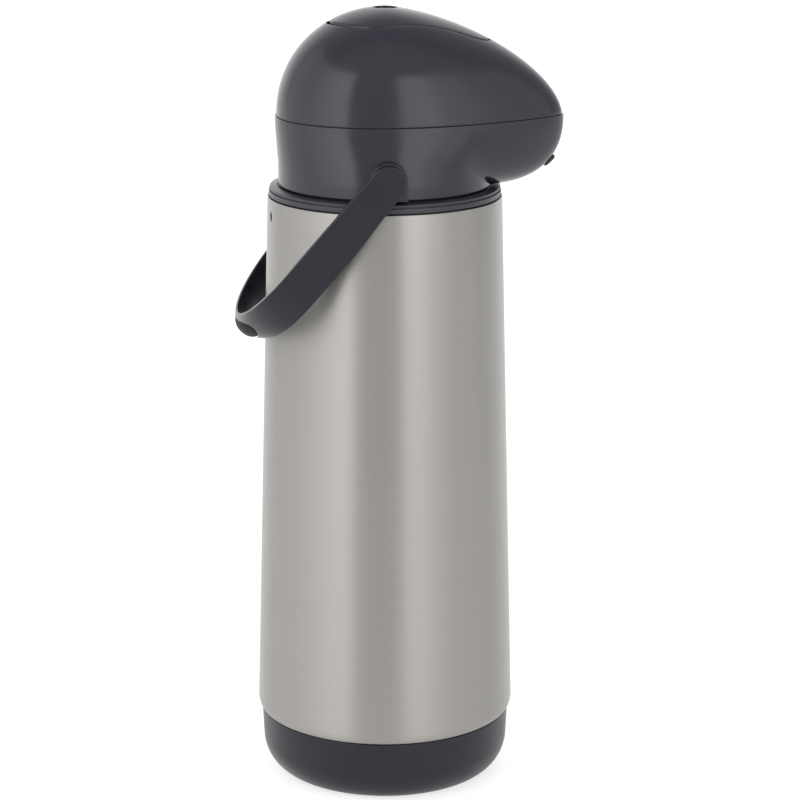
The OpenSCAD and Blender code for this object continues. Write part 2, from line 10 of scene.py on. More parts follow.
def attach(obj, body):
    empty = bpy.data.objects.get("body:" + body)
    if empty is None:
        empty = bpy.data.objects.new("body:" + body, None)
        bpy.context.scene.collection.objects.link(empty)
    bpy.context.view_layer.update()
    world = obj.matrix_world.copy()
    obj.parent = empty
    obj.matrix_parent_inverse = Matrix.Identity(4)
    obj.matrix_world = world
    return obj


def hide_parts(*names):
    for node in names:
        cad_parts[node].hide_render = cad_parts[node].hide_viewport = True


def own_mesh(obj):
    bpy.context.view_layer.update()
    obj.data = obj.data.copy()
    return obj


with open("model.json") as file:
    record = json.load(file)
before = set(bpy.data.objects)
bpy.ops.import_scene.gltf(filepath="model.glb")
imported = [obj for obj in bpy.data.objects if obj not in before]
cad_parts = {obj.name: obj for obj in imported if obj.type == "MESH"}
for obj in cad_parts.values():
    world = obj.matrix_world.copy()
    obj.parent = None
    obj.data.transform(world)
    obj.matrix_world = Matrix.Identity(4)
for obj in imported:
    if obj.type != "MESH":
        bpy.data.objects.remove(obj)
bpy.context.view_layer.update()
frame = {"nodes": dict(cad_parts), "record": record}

# Thermal coffee airpot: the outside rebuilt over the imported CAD, with +X toward the beak and +Z up.
MM = 0.001
scene = bpy.context.scene
scene.view_settings.view_transform = "Standard"


# ---------- camera ----------

CAMERA_DOWN, CAMERA_TURN = 14.8, -2

camera_data = bpy.data.cameras.new("camera")
camera_data.sensor_width = 36
camera_data.lens = 121.37
camera_data.shift_x = 0.019
camera_data.clip_end = 100
camera = bpy.data.objects.new("camera", camera_data)
camera.location = (-0.0472, -1.3502, 0.5549)
camera.rotation_euler = (math.radians(90 - CAMERA_DOWN), 0, math.radians(CAMERA_TURN))
scene.collection.objects.link(camera)
scene.camera = camera


# ---------- mesh helpers, all in millimetres ----------

MERGE_DIST, SLIVER_DIST = 0.0008, 0.0004
CORNER_STEPS = 5


def make_object(name, verts, faces):
    """New object from points in millimetres, with doubles merged and normals outward."""
    mesh = bpy.data.meshes.new(name)
    mesh.from_pydata((np.asarray(verts, float) * MM).tolist(), [], faces)
    work = bmesh.new()
    work.from_mesh(mesh)
    bmesh.ops.remove_doubles(work, verts=work.verts, dist=MERGE_DIST * MM)
    bmesh.ops.dissolve_degenerate(work, dist=SLIVER_DIST * MM, edges=work.edges)
    bmesh.ops.recalc_face_normals(work, faces=work.faces)
    work.to_mesh(mesh)
    work.free()
    obj = bpy.data.objects.new(name, mesh)
    scene.collection.objects.link(obj)
    return obj


def loft(rings, loop=False, start=None, end=None):
    """Points and faces of a skin through closed rings of equal counts. start and end are a centre
    point that closes that end, or None."""
    rings = [np.asarray(r, float) for r in rings]
    n, m = len(rings[0]), len(rings)
    verts = [tuple(p) for r in rings for p in r]
    faces = []
    for i in range(m if loop else m - 1):
        a, b = i * n, ((i + 1) % m) * n
        faces += [(a + j, a + (j + 1) % n, b + (j + 1) % n, b + j) for j in range(n)]
    for centre, first in ((start, 0), (end, (m - 1) * n)):
        if centre is not None:
            verts.append(tuple(centre))
            faces += [(first + j, first + (j + 1) % n, len(verts) - 1) for j in range(n)]
    return verts, faces


def rounded(profile):
    """Closed outline of (a, b, radius) corners as plain points, each corner rounded by its radius."""
    out = []
    count = len(profile)
    for i, corner in enumerate(profile):
        p = np.array(corner[:2], float)
        radius = corner[2] if len(corner) > 2 else 0
        before = np.array(profile[i - 1][:2], float) - p
        after = np.array(profile[(i + 1) % count][:2], float) - p
        la, lb = np.linalg.norm(before), np.linalg.norm(after)
        cosine = float(np.clip(before @ after / max(la * lb, 1e-9), -1, 1))
        half = math.acos(cosine) / 2
        if radius <= 0 or half > math.radians(88):
            out.append(p)
            continue
        reach = min(radius / math.tan(half), 0.48 * la, 0.48 * lb)
        a, b = p + before / la * reach, p + after / lb * reach
        radius = reach * math.tan(half)
        middle = (before / la + after / lb)
        centre = p + middle / np.linalg.norm(middle) * radius / math.sin(half)
        for k in range(CORNER_STEPS + 1):
            q = a + (b - a) * k / CORNER_STEPS - centre
            out.append(centre + q / np.linalg.norm(q) * radius)
    return out


def lathe(name, profile, steps=192):
    """Object turned about Z from a closed outline of (radius, height)."""
    turns = np.arange(steps) * 2 * math.pi / steps
    cos, sin = np.cos(turns), np.sin(turns)
    rings = [np.stack([p[0] * cos, p[0] * sin, np.full(steps, p[1])], 1) for p in profile]
    return make_object(name, *loft(rings, loop=True))


def place(obj, matrix):
    """Moves the points of a new object by a matrix in metres."""
    obj.data.transform(matrix)
    return obj


def combine(obj, other, operation):
    """obj joined with, or cut by, another object, which goes away."""
    step = obj.modifiers.new("combine", "BOOLEAN")
    step.object = other
    step.operation = operation
    step.solver = "EXACT"
    graph = bpy.context.evaluated_depsgraph_get()
    mesh = bpy.data.meshes.new_from_object(obj.evaluated_get(graph))
    obj.modifiers.clear()
    old = obj.data
    obj.data = mesh
    bpy.data.meshes.remove(old)
    bpy.data.objects.remove(other)
    return obj


def joined(objs):
    """One object with the meshes of several that don't touch."""
    work = bmesh.new()
    for o in objs:
        work.from_mesh(o.data)
    first = objs[0]
    work.to_mesh(first.data)
    work.free()
    for o in objs[1:]:
        bpy.data.objects.remove(o)
    return first


def rod(name, x, y, radius, low, high, steps=48):
    """Upright closed cylinder."""
    turns = np.arange(steps) * 2 * math.pi / steps
    rings = [np.stack([x + radius * np.cos(turns), y + radius * np.sin(turns), np.full(steps, z)], 1)
             for z in (low, high)]
    return make_object(name, *loft(rings, start=(x, y, low), end=(x, y, high)))


def finish_piece(obj, material, body, replaced, angle=38):
    """Material, smooth shading with sharp corners, and the piece's place in the frame."""
    obj.data.materials.clear()
    obj.data.materials.append(material)
    obj.data.shade_smooth()
    obj.data.set_sharp_from_angle(angle=math.radians(angle))
    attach(obj, body)
    if replaced:
        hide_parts(*replaced)
    return obj


def ease(u):
    """Smooth rise from 0 to 1 while u goes from 0 to 1."""
    c = np.clip(u, 0, 1)
    return c * c * (3 - 2 * c)


# ---------- materials ----------

def shader(name, colour, rough, metallic=0.0, **values):
    """Material with a principled shader, and its nodes and links."""
    material = bpy.data.materials.new(name)
    material.use_nodes = True
    nodes, links = material.node_tree.nodes, material.node_tree.links
    surface = nodes["Principled BSDF"]
    surface.inputs["Base Color"].default_value = (*colour, 1)
    surface.inputs["Roughness"].default_value = rough
    surface.inputs["Metallic"].default_value = metallic
    for key, value in values.items():
        surface.inputs[key.replace("_", " ")].default_value = value
    return material, nodes, links, surface


def noise(nodes, links, scale, detail=4, stretch=(1, 1, 1), rough=0.55):
    """Noise in the object's own frame, stretched along its axes."""
    place_in = nodes.new("ShaderNodeTexCoord")
    mapping = nodes.new("ShaderNodeMapping")
    mapping.inputs["Scale"].default_value = stretch
    texture = nodes.new("ShaderNodeTexNoise")
    texture.inputs["Scale"].default_value = scale
    texture.inputs["Detail"].default_value = detail
    texture.inputs["Roughness"].default_value = rough
    links.new(place_in.outputs["Object"], mapping.inputs["Vector"])
    links.new(mapping.outputs["Vector"], texture.inputs["Vector"])
    return texture.outputs["Fac"]


def spread(nodes, links, source, low, high, source_low=0.3, source_high=0.7):
    """A value from low to high that follows a noise."""
    remap = nodes.new("ShaderNodeMapRange")
    remap.inputs["From Min"].default_value = source_low
    remap.inputs["From Max"].default_value = source_high
    remap.inputs["To Min"].default_value = low
    remap.inputs["To Max"].default_value = high
    links.new(source, remap.inputs["Value"])
    return remap.outputs["Result"]


def mixed(nodes, links, factor, a, b):
    """A colour between two, by a factor's output."""
    mix = nodes.new("ShaderNodeMix")
    mix.data_type = "RGBA"
    for socket, colour in ((mix.inputs[6], a), (mix.inputs[7], b)):
        if hasattr(colour, "is_output"):
            links.new(colour, socket)
        else:
            socket.default_value = (*colour, 1)
    links.new(factor, mix.inputs[0])
    return mix.outputs[2]


def bump(nodes, links, surface, heights):
    """Small relief from several (height output, strength, distance in metres)."""
    last = None
    for height, strength, distance in heights:
        step = nodes.new("ShaderNodeBump")
        step.inputs["Strength"].default_value = strength
        step.inputs["Distance"].default_value = distance
        links.new(height, step.inputs["Height"])
        if last is not None:
            links.new(last, step.inputs["Normal"])
        last = step.outputs["Normal"]
    links.new(last, surface.inputs["Normal"])


def edge_wear(nodes, links):
    """0 on faces and up to 1 on worn outer edges."""
    shape = nodes.new("ShaderNodeNewGeometry")
    return spread(nodes, links, shape.outputs["Pointiness"], 0, 1, 0.52, 0.6)


def moulded_plastic(name, colour, rough, grain, gloss_spread, worn=1.35, **values):
    """Injection-moulded plastic with flow clouds, fine grain and slightly polished edges."""
    material, nodes, links, surface = shader(name, colour, rough, **values)
    flow = noise(nodes, links, 14, 3, (1, 1, 0.6))
    fine = noise(nodes, links, 1900, 2)
    dark = tuple(c * 0.9 for c in colour)
    light = tuple(c * 1.1 for c in colour)
    clouded = mixed(nodes, links, spread(nodes, links, flow, 0, 1), dark, light)
    edge = tuple(c * worn for c in colour)
    wear = edge_wear(nodes, links)
    links.new(mixed(nodes, links, wear, clouded, edge), surface.inputs["Base Color"])
    haze = noise(nodes, links, 55, 5, (1, 1, 1.6))
    gloss = spread(nodes, links, haze, rough - gloss_spread, rough + gloss_spread)
    links.new(gloss, surface.inputs["Roughness"])
    bump(nodes, links, surface, [
        (noise(nodes, links, 240, 2), 0.25, 0.00003),
        (fine, grain, 0.00003),
    ])
    return material


def brushed_metal(name, colour, rough, fine=1.0):
    """Sheet or bar with scratches that run round the axis, so that it blurs what it mirrors upright."""
    material, nodes, links, surface = shader(
        name, colour, rough, 1.0, Anisotropic=0.9, Anisotropic_Rotation=0.25)
    tangent = nodes.new("ShaderNodeTangent")
    tangent.direction_type = "RADIAL"
    tangent.axis = "Z"
    links.new(tangent.outputs["Tangent"], surface.inputs["Tangent"])
    streaks = noise(nodes, links, 9, 6, (1, 1, 300 * fine), 0.75)
    hair = noise(nodes, links, 30, 4, (1, 1, 480 * fine), 0.8)
    clouds = noise(nodes, links, 9, 3)
    contrast, gloss_spread = 0.025, 0.02
    dark = tuple(c * (1 - contrast) for c in colour)
    light = tuple(min(1, c * (1 + contrast)) for c in colour)
    brushed = mixed(nodes, links, spread(nodes, links, streaks, 0, 1, 0.35, 0.65), dark, light)
    faded = tuple(c * 0.95 for c in colour)
    shade = mixed(nodes, links, spread(nodes, links, clouds, 0, 0.3), brushed, faded)
    links.new(shade, surface.inputs["Base Color"])
    gloss = spread(nodes, links, hair, rough - gloss_spread, rough + gloss_spread)
    links.new(gloss, surface.inputs["Roughness"])
    bump(nodes, links, surface, [(streaks, 0.022, 0.00002), (hair, 0.04, 0.00001)])
    return material


# name, colour, roughness, grain, spread of the gloss, brightness of worn edges
head_gloss = moulded_plastic("head_gloss", (0.013, 0.0136, 0.0215), 0.19, 0.05, 0.03, Specular_IOR_Level=0.45)
satin_charcoal = moulded_plastic("satin_charcoal", (0.0055, 0.0055, 0.011), 0.36, 0.3, 0.05,
                                 Specular_IOR_Level=0.35)
collar_charcoal = moulded_plastic("collar_charcoal", (0.017, 0.0175, 0.024), 0.36, 0.3, 0.05)
grip_charcoal = moulded_plastic("grip_charcoal", (0.0058, 0.0056, 0.0112), 0.3, 0.2, 0.05,
                                Specular_IOR_Level=0.4)
milky_plastic = moulded_plastic("milky_plastic", (0.78, 0.79, 0.77), 0.42, 0.25, 0.05, 1.05)
silicone = moulded_plastic("silicone", (0.72, 0.73, 0.71), 0.55, 0.4, 0.05, 1.05)
black_rubber = moulded_plastic("black_rubber", (0.007, 0.007, 0.008), 0.3, 0.3, 0.05)
# near-black matte rubber of the grip pad, also used as painted shade for the discs deep in the steel's peg
# holes
soft_grip_and_painted_shade = moulded_plastic("soft_grip_and_painted_shade", (0.003, 0.003, 0.0035), 0.62, 0.6, 0.06, Specular_IOR_Level=0.16)
brushed_shell = brushed_metal("brushed_shell", (0.35, 0.338, 0.321), 0.42)
pin_steel = brushed_metal("pin_steel", (0.6, 0.6, 0.6), 0.24, 3.0)


def silvered_glass():
    """Glass of the flask, mirrored on its vacuum side, with faint smoky marks."""
    silver, smoky = (0.8, 0.82, 0.85), (0.6, 0.59, 0.58)
    material, nodes, links, surface = shader(
        "flask_glass", silver, 0.05, 0.95, Coat_Weight=1.0, Coat_Roughness=0.02)
    smoke = noise(nodes, links, 22, 5)
    marks = mixed(nodes, links, spread(nodes, links, smoke, 0, 1, 0.45, 0.75), silver, smoky)
    links.new(marks, surface.inputs["Base Color"])
    links.new(spread(nodes, links, smoke, 0.04, 0.16, 0.4, 0.8), surface.inputs["Roughness"])
    bump(nodes, links, surface, [(noise(nodes, links, 60, 2), 0.1, 0.0002)])
    return material


flask_glass = silvered_glass()

SLOT_MATERIALS = {
    "head_gloss": head_gloss, "satin_charcoal": satin_charcoal, "brushed_shell": brushed_shell,
    "flask_glass": flask_glass, "milky_plastic": milky_plastic, "silicone": silicone,
    "black_rubber": black_rubber, "pin_steel": pin_steel,
}


# ---------- head surfaces, by the formulas of part.scad with a finer seam gap ----------

SKIRT_Z, SKIRT_R, SKIRT_EDGE, DECK_Z = 312.2, 54.1, 0.8, 315
SEAM_Z, DOME_H, BEAK_X, BACK_X, SEAM_HALF_W = 347, 54.3, 90.3, 55.6, 46.3
SEAM_LIP, SEAM_GAP, WALL, FLARE_Z = 0.8, 0.16, 2.4, 318
DOME_FRONT_POWER, DOME_FRONT_ROUND, DOME_FALL_POWER = 1.65, 1.5, 2.1
KEEL_X0, KEEL_Z0, KEEL_SIDE, KEEL_NOSE, BELLY_POWER = 45, 311.95, 2.4, 2.7, 2.5
EGG_PULL, EGG_FLAT, BLEND_W = 1.49, 0.086, 19
PAD_HALF_L, PAD_MID_X, PAD_SHELL, PAD_SKIRT = 39.7, 12.1, 2.2, 10
# room round the press pad at its front, rear and sides: none for the pad's own outline
PAD_GAPS, OPENING_GAPS = (0, 0, 0), (0.9, 1.8, 0.6)
CAP_R, CAP_FLOOR_Z, CAP_STEM_R = 5.9, SEAM_Z + DOME_H - 2, 2
HINGE_X, HINGE_Z, HINGE_R, LUG_Y, LUG_T = 46.6, 380.5, 1.5, 12.4, 2.6
PUMP_X, PUSHER_Z, PUSHER_R, STROKE = -18, 388, 4.6, 18.3
BELLOWS_R, SEAT_TOP_Z, BELLOWS_TOP_Z, SPRING_R, WIRE_R, SPRING_TURNS = 26, 318, 366, 14, 0.8, 7
SCREW_SPOTS = ((-33, 30), (-33, -30), (33, 29), (33, -29))
TUBE_X, PIVOT_Z = 16, 322.7
BISECT_STEPS = 34
COLUMNS = 240
TURNS = np.arange(COLUMNS) * 2 * math.pi / COLUMNS


def egg(t, front, back, half_w):
    """Pointed oval in plan, from its reach to the front and back and its half width."""
    mid, half = (front - back) / 2, (front + back) / 2
    pull = EGG_PULL * mid / np.maximum(half, 1e-9)
    return mid + half * np.cos(t), half_w * np.sin(t) * (1 - pull * np.cos(t) - EGG_FLAT * np.cos(t) ** 2)


def dome_point(t, v, inset=0.0):
    """Points of the upper housing's outside, or of a surface a little inside it."""
    v = np.clip(v, 0, 1)
    front = (BEAK_X - SEAM_LIP - inset) * (1 - v ** DOME_FRONT_POWER) ** (1 / DOME_FRONT_ROUND)
    fall = np.sqrt(1 - v ** DOME_FALL_POWER)
    x, y = egg(t, front, (BACK_X - SEAM_LIP - inset) * fall, (SEAM_HALF_W - SEAM_LIP - inset) * fall)
    return np.stack([x, y, SEAM_Z + v * (DOME_H - inset)], -1)


def keel_at(x):
    """Height of the beak's underside along the middle."""
    u = np.clip((x - KEEL_X0) / (BEAK_X - KEEL_X0), 0, 1)
    return SEAM_Z - (SEAM_Z - KEEL_Z0) * (1 - u ** KEEL_NOSE) ** (1 / KEEL_SIDE)


def seam_w_at(x):
    """Half width of the head at the seam."""
    mid, half = (BEAK_X - BACK_X) / 2, (BEAK_X + BACK_X) / 2
    return egg(np.arccos(np.clip((x - mid) / half, -1, 1)), BEAK_X, BACK_X, SEAM_HALF_W)[1]


def in_belly(x, y, z):
    """True inside the solid of the beak's lower half."""
    depth = (SEAM_Z - z) / np.maximum(0.001, SEAM_Z - keel_at(x))
    width = seam_w_at(x) * (1 - np.clip(depth, 0, 1) ** BELLY_POWER) ** (1 / BELLY_POWER)
    return (x < BEAK_X) & (depth < 1) & (np.abs(y) < width)


def belly_reach(turn, z):
    """How far from the axis the beak's lower half goes, at each azimuth."""
    low, high = np.zeros_like(turn), np.full_like(turn, 100.0)
    for _ in range(30):
        mid = (low + high) / 2
        inside = in_belly(mid * np.cos(turn), mid * np.sin(turn), z)
        low, high = np.where(inside, mid, low), np.where(inside, high, mid)
    return low


def lower_point(t, z, shift=0.0, inset=0.0):
    """Points of the lower housing's side at height z."""
    sx, sy = egg(t, BEAK_X, BACK_X, SEAM_HALF_W)
    turn, seam = np.arctan2(sy, sx), np.hypot(sx, sy)
    level = z - shift
    q = (level - SKIRT_Z) / (SEAM_Z - SKIRT_Z)
    if level >= SEAM_Z - 0.01:
        reach = seam
    else:
        edge = min(1.0, (level - SKIRT_Z) / SKIRT_EDGE)
        foot = SKIRT_R - SKIRT_EDGE * (1 - math.sqrt(max(0, 1 - (1 - edge) ** 2)))
        skirt = foot + (np.minimum(seam, BACK_X) - foot) * ease((level - FLARE_Z) / (SEAM_Z - FLARE_Z))
        belly = np.where(np.abs(turn) < math.pi / 2, belly_reach(turn, level), 0)
        width = BLEND_W * q * (1 - q)
        reach = np.maximum(skirt, belly)
        if width > 1e-6:
            reach = reach + np.maximum(0, width - np.abs(skirt - belly)) ** 2 / (4 * width)
    reach = reach - inset
    return np.stack([reach * np.cos(turn), reach * np.sin(turn), np.full_like(turn, z)], -1)


def pad_w_at(u):
    """Half width of the press pad's outline, with u from -1 at its rear to 1 at its front."""
    return np.sqrt(np.maximum(0, 1 - u * u)) * (20.8 - 13.4 * u + 2.6 * u * u + 12 * u ** 3)


def edge_level(t, gaps, inset, extra=0.0):
    """Level on the dome where each meridian meets the pad's outline, widened by the gaps."""
    front, rear, side = (g + extra for g in gaps)
    mid, half = PAD_MID_X + (front - rear) / 2, PAD_HALF_L + (front + rear) / 2
    low, high = np.zeros_like(t), np.ones_like(t)
    for _ in range(BISECT_STEPS):
        v = (low + high) / 2
        p = dome_point(t, v, inset)
        u = (p[..., 0] - mid) / half
        inside = (np.abs(u) < 1) & (np.abs(p[..., 1]) < pad_w_at(u) + side)
        high, low = np.where(inside, v, high), np.where(inside, low, v)
    return (low + high) / 2


def circle_level(t, radius, inset=0.0):
    """Level on the dome where each meridian is that far from the axis."""
    low, high = np.zeros_like(t), np.ones_like(t)
    for _ in range(BISECT_STEPS):
        v = (low + high) / 2
        p = dome_point(t, v, inset)
        inside = np.hypot(p[..., 0], p[..., 1]) < radius
        high, low = np.where(inside, v, high), np.where(inside, low, v)
    return (low + high) / 2


def shifted(points, dz):
    """The points, raised by dz."""
    return points + np.array([0, 0, dz])


# ---------- vessel pieces ----------

PEG_TURNS, PEG_Z, PEG_REACH = (194, 14), 297.6, 56.6
HOLE_R = 3


def peg_place(turn, reach):
    """Frame on one of the pegs' axes, with +Z outward, that far from the pot's axis."""
    return (Matrix.Translation((0, 0, PEG_Z * MM)) @ Matrix.Rotation(math.radians(turn), 4, "Z")
            @ Matrix.Translation((reach * MM, 0, 0)) @ Matrix.Rotation(math.radians(90), 4, "Y"))


def base_cup():
    """Turned cup with a ridged foot, a swept lower corner and a neck that screws into the bottom ring."""
    side_r, wall, sweep_w, sweep_h, sweep_power = 64.4, 2.6, 12.4, 16.4, 1.1
    corner = [(side_r - sweep_w * (1 - math.cos(a) ** sweep_power),
               sweep_h * (1 - math.sin(a) ** sweep_power)) for a in np.linspace(math.pi / 2, 0, 25)]
    corner_in = [(x - wall, z + wall) for x, z in reversed(corner)]
    ridge = [(30, 1.4, 0), (30.3, 0.9, 0), (31.7, 0.9, 0), (32, 1.4, 0)]
    under = [(0, 1.4, 0)] + ridge + [(46.5, 1.4, 0.5), (48, 0, 0.6)]
    neck = [(60.8, 33, 0), (60.8, 43, 0.3), (58.3, 43, 0.3), (58.3, 29, 0)]
    upper = [(65.2, 33, 0.7)] + neck + [(61.8, 27, 0)]
    profile = [(0, wall, 0)] + under + [(x, z, 0) for x, z in corner]
    profile += upper + [(x, z, 0) for x, z in corner_in]
    obj = lathe("base_cup_shell", rounded(profile), 224)
    return finish_piece(obj, satin_charcoal, "vessel", ["base_cup"])


def steel_shell():
    """Tapered sheet with its lower edge curled in over the base cup, and a hole for each peg."""
    low_r, top_r, top_z, wall = 67, 59.6, 306.2, 0.6
    curl_r, curl_z, curl_w, curl_h = 65.1, 38.5, 1.9, 5.1
    bend = np.linspace(0, math.pi / 2, 13)
    curl = [(curl_r + curl_w * math.cos(a), curl_z - curl_h * math.sin(a)) for a in bend[::-1]]
    curl_in = [(curl_r + (curl_w - wall) * math.cos(a), curl_z - (curl_h - wall) * math.sin(a)) for a in bend]
    shares = [k / 8 for k in range(1, 8)]
    side = [(low_r + (top_r - low_r) * u, curl_z + (top_z - curl_z) * u, 0) for u in shares]
    profile = [(x, z, 0) for x, z in curl] + side + [(top_r, top_z, 0.28), (top_r - wall, top_z, 0.28)]
    profile += [(x, z, 0) for x, z in curl_in]
    obj = lathe("steel_shell_sheet", rounded(profile), 256)
    for turn in PEG_TURNS:
        combine(obj, place(rod("drill", 0, 0, HOLE_R, 50, 65), peg_place(turn, 0)), "DIFFERENCE")
    return finish_piece(obj, brushed_shell, "vessel", ["steel_shell"], 30)


def shoulder_collar():
    """Collar that closes the steel's top and takes the head, with a shadow gap, a groove and a lip."""
    neck_tube = [(31.5, 284, 0.3), (33.5, 284, 0.3), (33.5, 297.5, 0.6)]
    sleeve = [(56.5, 297.5, 0.6), (56.5, 289.5, 0.3), (58.5, 289.5, 0.3), (58.5, 305, 0)]
    shadow_gap = [(57, 305, 0), (57, 306.9, 0)]
    flange = [(59, 306.9, 0.15), (59, 309.4, 0.3)]
    groove = [(58, 309.4, 0), (58, 309.9, 0)]
    lip = [(58.5, 309.9, 0.2), (58.5, 311.1, 0.35), (54.8, 311.75, 0.3),
           (54.3, 311.3, 0.3), (52.7, 311.2, 0.3)]
    well = [(52.7, 308, 0), (52.2, 307.5, 0), (52.2, 299.5, 0), (31.5, 299.5, 0.3)]
    profile = neck_tube + sleeve + shadow_gap + flange + groove + lip + well
    obj = lathe("shoulder_collar_ring", rounded(profile), 224)
    return finish_piece(obj, collar_charcoal, "vessel", ["shoulder_collar"], 32)


def peg_pair(name, profile):
    """The same small turned piece in both of the steel's holes."""
    outline = rounded(profile)
    obj = joined([place(lathe(name, outline, 48), peg_place(turn, PEG_REACH)) for turn in PEG_TURNS])
    obj.name = name
    return obj


def shell_pegs():
    """Light cups that line the steel's holes, and in each a near-black disc deep in the cup that is painted
    shade for the hole's dark inside.
    """
    cup = [(0, 0, 0), (2.97, 0, 0), (2.97, 3.15, 0.04), (2.87, 3.15, 0.04), (2.87, 2.5, 0), (0, 2.5, 0)]
    finish_piece(peg_pair("shell_peg_pair", cup), milky_plastic, "vessel", ["shell_pegs"])
    # painted shade: the near-black disc at each cup's floor stands in for the shade deep inside the hole
    disc = [(0, 2.4, 0), (2.82, 2.4, 0), (2.82, 2.65, 0.1), (1, 2.65, 0.1), (0.8, 2.55, 0), (0, 2.55, 0)]
    finish_piece(peg_pair("shell_peg_shade_discs", disc), soft_grip_and_painted_shade, "vessel", [])


# ---------- head pieces ----------

def boss(side):
    """Arched boss that carries one end of the handle, with its outer edge rounded."""
    half, foot, root_y, face_y, edge = 9.3, 313.2, 50, 60.6, 0.5
    rounding = [(face_y - edge + edge * math.sin(a), edge * (1 - math.cos(a)))
                for a in np.linspace(0, math.pi / 2, 6)]
    rings = []
    for y, shrink in [(root_y, 0)] + rounding:
        r = half - shrink
        outline = [(r * math.cos(a), PIVOT_Z + r * math.sin(a)) for a in np.linspace(0, math.pi, 41)]
        outline += [(-r, foot + shrink + (PIVOT_Z - foot) * k / 6) for k in (5, 4, 3, 2, 1, 0)]
        outline += [(-r + 2 * r * k / 6, foot + shrink) for k in range(1, 6)]
        outline += [(r, foot + shrink + (PIVOT_Z - foot) * k / 6) for k in range(0, 6)]
        rings.append([(x, side * y, z) for x, z in outline])
    start, end = (0, side * root_y, PIVOT_Z), (0, side * face_y, PIVOT_Z)
    return make_object("boss", *loft(rings, start=start, end=end))


def across_rod(name, z, radius, low, high, steps=48, x=0):
    """Closed cylinder along Y."""
    obj = rod(name, 0, 0, radius, low, high, steps)
    return place(obj, Matrix.Translation((x * MM, 0, z * MM)) @ Matrix.Rotation(math.radians(-90), 4, "X"))


def block(name, low, high):
    """Closed box between two corners."""
    sides = ((low[0], low[1]), (high[0], low[1]), (high[0], high[1]), (low[0], high[1]))
    mid = ((low[0] + high[0]) / 2, (low[1] + high[1]) / 2)
    rings = [[(x, y, z) for x, y in sides] for z in (low[2], high[2])]
    return make_object(name, *loft(rings, start=(*mid, low[2]), end=(*mid, high[2])))


NOZZLE_X, NOZZLE_Z, NOZZLE_DOWN = 84.4, 321.9, 47
NOZZLE_PLACE = (Matrix.Translation((NOZZLE_X * MM, 0, NOZZLE_Z * MM))
                @ Matrix.Rotation(math.radians(NOZZLE_DOWN - 90), 4, "Y"))


def head_lower():
    """Lower housing: skirt, beak's underside, thread ring, bosses and the bores for what passes through."""
    lip, rows, crowding, inner_foot = 0.2, 66, 1.55, 2.6
    levels = [SKIRT_Z + (SEAM_Z - lip - SKIRT_Z) * (k / rows) ** crowding for k in range(rows + 1)]
    rings = [lower_point(TURNS, z) for z in levels]
    rings += [lower_point(TURNS, SEAM_Z - lip + lip * math.sin(a), 0, lip * (1 - math.cos(a)))
              for a in np.linspace(0.3, math.pi / 2, 5)]
    rings.append(lower_point(TURNS, SEAM_Z, 0, WALL))
    for k in range(15, -1, -1):
        z = DECK_Z + (SEAM_Z - DECK_Z) * (k / 16) ** 1.5
        rings.append(lower_point(TURNS, z, inner_foot, WALL))
    turn = np.arctan2(rings[0][:, 1], rings[0][:, 0])
    circle = np.stack([np.cos(turn), np.sin(turn), np.zeros_like(turn)], 1)
    thread_ring = ((47, SKIRT_Z), (49.4, SKIRT_Z), (49.4, 301.8), (49.7, 301.5),
                   (51.4, 301.5), (51.8, 301.9), (51.8, SKIRT_Z))
    under = [circle * r + np.array([0, 0, z]) for r, z in thread_ring]
    obj = make_object("head_lower_shell", *loft(under + rings, start=(0, 0, SKIRT_Z), end=(0, 0, DECK_Z)))
    for side in (-1, 1):
        combine(obj, boss(side), "UNION")
    stub_bore, tube_bore, pump_bore, screw_bore, nozzle_bore = 3.05, 6, 5, 1.8, 4.1
    below, above = 308, 320
    cutters = [across_rod("bore", PIVOT_Z, stub_bore, low, high) for low, high in ((54, 62), (-62, -54))]
    cutters += [rod("bore", x, 0, r, below, above) for x, r in ((TUBE_X, tube_bore), (PUMP_X, pump_bore))]
    cutters += [rod("bore", x, y, screw_bore, below, above) for x, y in SCREW_SPOTS]
    cutters.append(place(rod("bore", 0, 0, nozzle_bore, -4, 10), NOZZLE_PLACE))
    combine(obj, joined(cutters), "DIFFERENCE")
    return finish_piece(obj, head_gloss, "head", ["head_lower"], 34)


def dome_rows(levels, parts, inset):
    """Rings on the dome from the seam (part 0) to the given levels (part 1)."""
    return [dome_point(TURNS, np.sin(np.arcsin(levels) * part), inset) for part in parts]


def dome_fill(inset):
    """Solid that fills the upper housing down to the deck."""
    rows = dome_rows(np.ones(COLUMNS) * 0.999, [k / 24 for k in range(25)], inset)
    rows.insert(0, shifted(rows[0], DECK_Z - SEAM_Z))
    return make_object("dome_fill", *loft(rows, start=(0, 0, DECK_Z), end=(0, 0, SEAM_Z + DOME_H - inset)))


def housing_fittings(obj):
    """Adds the screw posts and the pad's hinge lugs inside the upper housing."""
    post_r, screw_bore = 3.6, 1.4
    fittings = [rod("post", x, y, post_r, DECK_Z, SEAM_Z + DOME_H) for x, y in SCREW_SPOTS]
    for low_y in (LUG_Y, -LUG_Y - LUG_T):
        fittings.append(block("lug", (HINGE_X - 2.8, low_y, HINGE_Z - 3.5),
                              (HINGE_X + 3.5, low_y + LUG_T, HINGE_Z + 8.5)))
    fittings = joined(fittings)
    combine(fittings, dome_fill(WALL / 2), "INTERSECT")
    combine(obj, fittings, "UNION")
    cutters = [rod("bore", x, y, screw_bore, DECK_Z - 1, DECK_Z + 13) for x, y in SCREW_SPOTS]
    lug_out = LUG_Y + LUG_T + 0.1
    cutters.append(across_rod("bore", HINGE_Z, HINGE_R, -lug_out, lug_out, 48, HINGE_X))
    combine(obj, joined(cutters), "DIFFERENCE")


